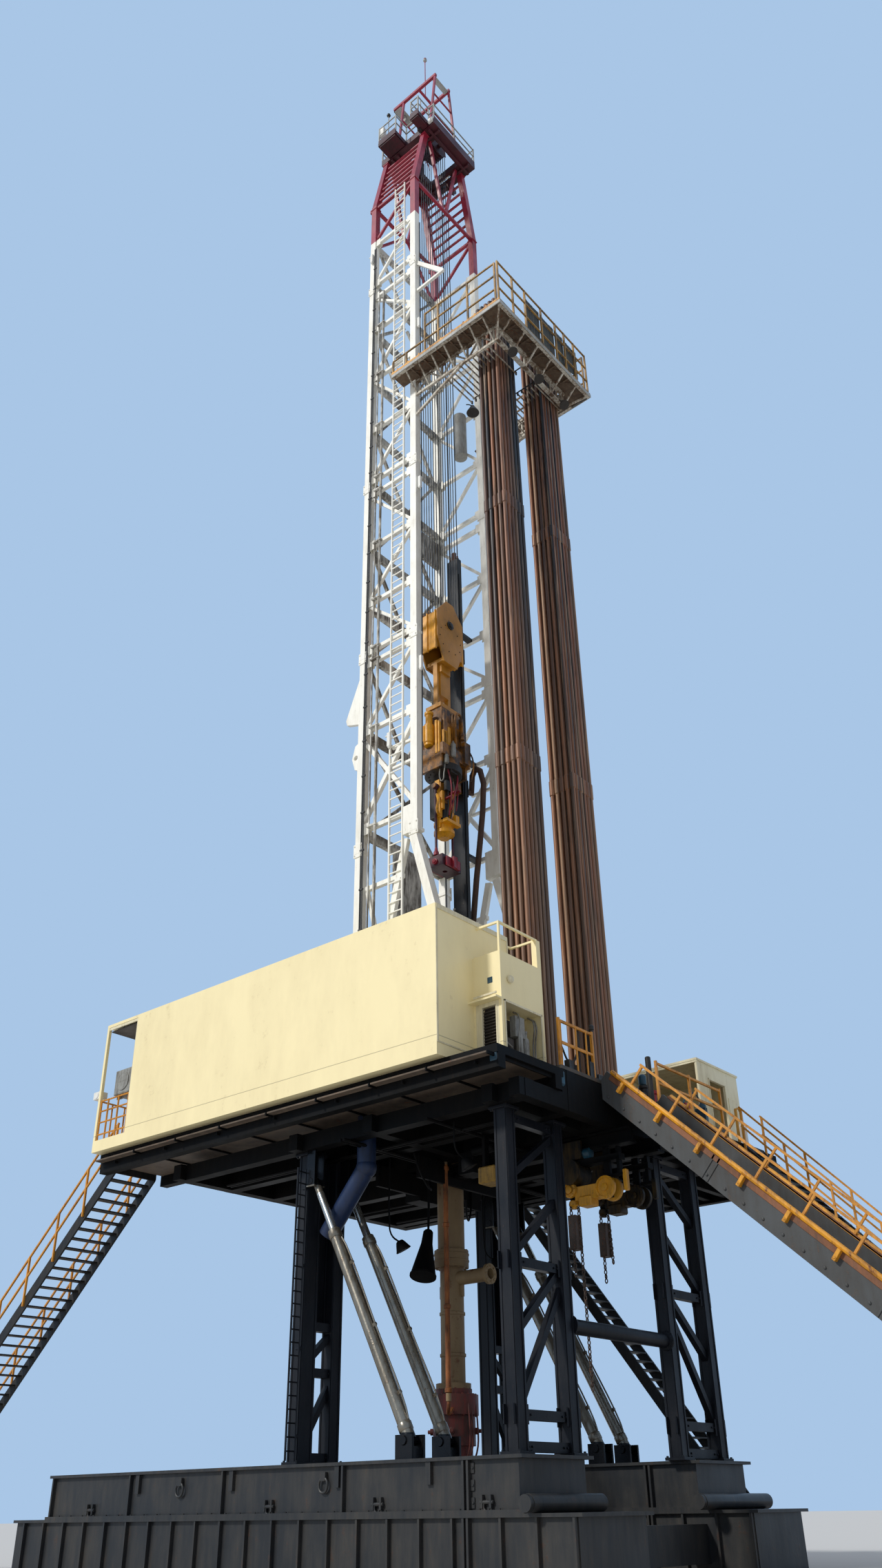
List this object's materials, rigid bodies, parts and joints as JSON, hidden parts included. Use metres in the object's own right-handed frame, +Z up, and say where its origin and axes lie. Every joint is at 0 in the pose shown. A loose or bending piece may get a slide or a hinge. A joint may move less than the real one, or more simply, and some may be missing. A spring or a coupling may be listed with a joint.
{
  "type": "oil drilling rig, 1:10 scale model",
  "caption": "Land drilling rig: stacked base boxes, towers, drill floor with doghouse, shelter, ramp and stairs, tall mast with racking platform, crown, travelling block and top drive.",
  "frame": {"origin": "on the ground, at the centre of the well under the rotary table", "axes": "+Z up, +X towards the pipe ramp, -Y towards the doghouse"},
  "size_m": [3.4059, 1.331, 6.0725],
  "materials": {
    "base_dark": "satin",
    "tower_dark": "satin",
    "floor_steel": "matte",
    "rotary_steel": "satin",
    "cylinder_silver": "satin",
    "bop_red": "satin",
    "nipple_tan": "satin",
    "hoist_yellow": "satin",
    "duct_blue": "satin",
    "cabin_cream": "satin",
    "shelter_cream": "satin",
    "rail_yellow": "satin",
    "ramp_grey": "matte",
    "stair_black": "satin",
    "mast_white": "satin",
    "crown_red": "satin",
    "crown_maroon": "satin",
    "crown_rail_grey": "satin",
    "gin_red": "satin",
    "board_white": "satin",
    "pipe_steel": "matte",
    "board_brown": "matte",
    "pipe_grey": "satin",
    "mud_brown": "matte",
    "canvas_dark": "matte",
    "beam_black": "satin",
    "weight_grey": "satin",
    "block_yellow": "satin",
    "link_red": "satin",
    "rope_dark": "matte"
  },
  "bodies": {
    "root": {"base_box_near": "base_dark", "base_box_far": "base_dark", "base_spreaders": "base_dark", "tower_front_near": "tower_dark", "tower_front_far": "tower_dark", "tower_rear_near": "tower_dark", "tower_rear_far": "tower_dark", "tower_strut": "tower_dark", "cross_tubes": "base_dark", "floor_frame": "base_dark", "floor_deck": "floor_steel", "rotary_table": "rotary_steel", "raising_cylinders": "cylinder_silver", "bop_stack": "bop_red", "bell_nipple": "nipple_tan", "hoist_beam": "tower_dark", "air_duct": "duct_blue", "doghouse_platform": "base_dark", "doghouse_walls": "cabin_cream", "doghouse_roof": "cabin_cream", "end_cabin": "cabin_cream", "roof_rail": "shelter_cream", "shelter_platform": "base_dark", "shelter_walls": "shelter_cream", "shelter_roof": "shelter_cream", "floor_rails": "rail_yellow", "ramp": "ramp_grey", "ramp_rails": "rail_yellow", "stair_left": "stair_black", "stair_back": "stair_black", "stair_right": "stair_black", "stair_rails": "rail_yellow", "mast_base": "mast_white", "mast_side_near": "mast_white", "mast_side_far": "mast_white", "mast_back": "mast_white", "mast_ladder": "mast_white", "standpipe": "pipe_grey", "crown_sides": "crown_red", "crown_ends": "crown_red", "crown_platform": "crown_maroon", "crown_block": "crown_maroon", "crown_rails": "crown_rail_grey", "gin_pole": "gin_red", "racking_board": "board_white", "racking_deck": "board_brown", "finger_board": "board_white", "board_fence": "rail_yellow", "pipe_stands_near": "pipe_steel", "pipe_stands_far": "pipe_steel", "torque_beam": "beam_black", "mud_pipe": "mud_brown", "wind_covers": "canvas_dark", "counterweight": "weight_grey", "drilling_lines": "rope_dark"},
    "hoist": {"travelling_block": "block_yellow", "top_drive": "block_yellow"},
    "links": {"elevator_links": "link_red"},
    "trolley": {"bop_trolley": "hoist_yellow"}
  },
  "joints": [
    {"name": "block_hoist", "type": "slide", "parent": "root", "child": "hoist", "axis": [0, 0, 1], "range_m": [-0.62, 2.05], "deforming": ["drilling_lines"]},
    {"name": "links_tilt", "type": "hinge", "parent": "hoist", "child": "links", "pos_m": [0, 0, 1.981], "axis": [0, -1, 0], "range_deg": [-15, 35]},
    {"name": "trolley_slide", "type": "slide", "parent": "root", "child": "trolley", "axis": [1, 0, 0], "range_m": [-0.3, 0.1]}
  ]
}
